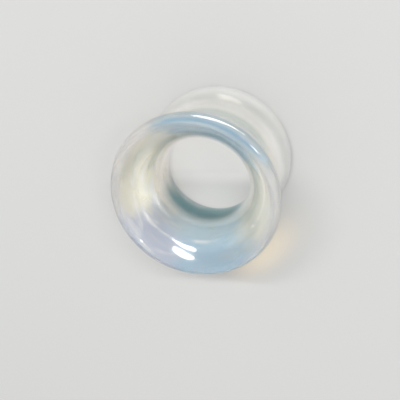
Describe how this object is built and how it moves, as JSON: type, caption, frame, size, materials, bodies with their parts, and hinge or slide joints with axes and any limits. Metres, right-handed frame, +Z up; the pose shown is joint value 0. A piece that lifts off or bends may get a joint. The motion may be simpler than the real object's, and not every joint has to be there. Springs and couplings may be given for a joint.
{
  "type": "ear tunnel",
  "caption": "Double-flared ear tunnel in milky opal glass: a smooth spool with a round hole through it and a hollow waist that the stretched earlobe sits in.",
  "frame": {"origin": "on the hole's axis, on the surface that the lower flare rests on", "axes": "+Z up along the hole, out of the mouth that the picture shows; +X to the right of that mouth in the picture and +Y to its top"},
  "size_m": [0.015, 0.015, 0.0114],
  "materials": {
    "opal_glass": "polished milky opal glass, blue where it scatters light and pale yellow where light passes through"
  },
  "bodies": {
    "root": {"tunnel": "opal_glass"}
  },
  "joints": []
}
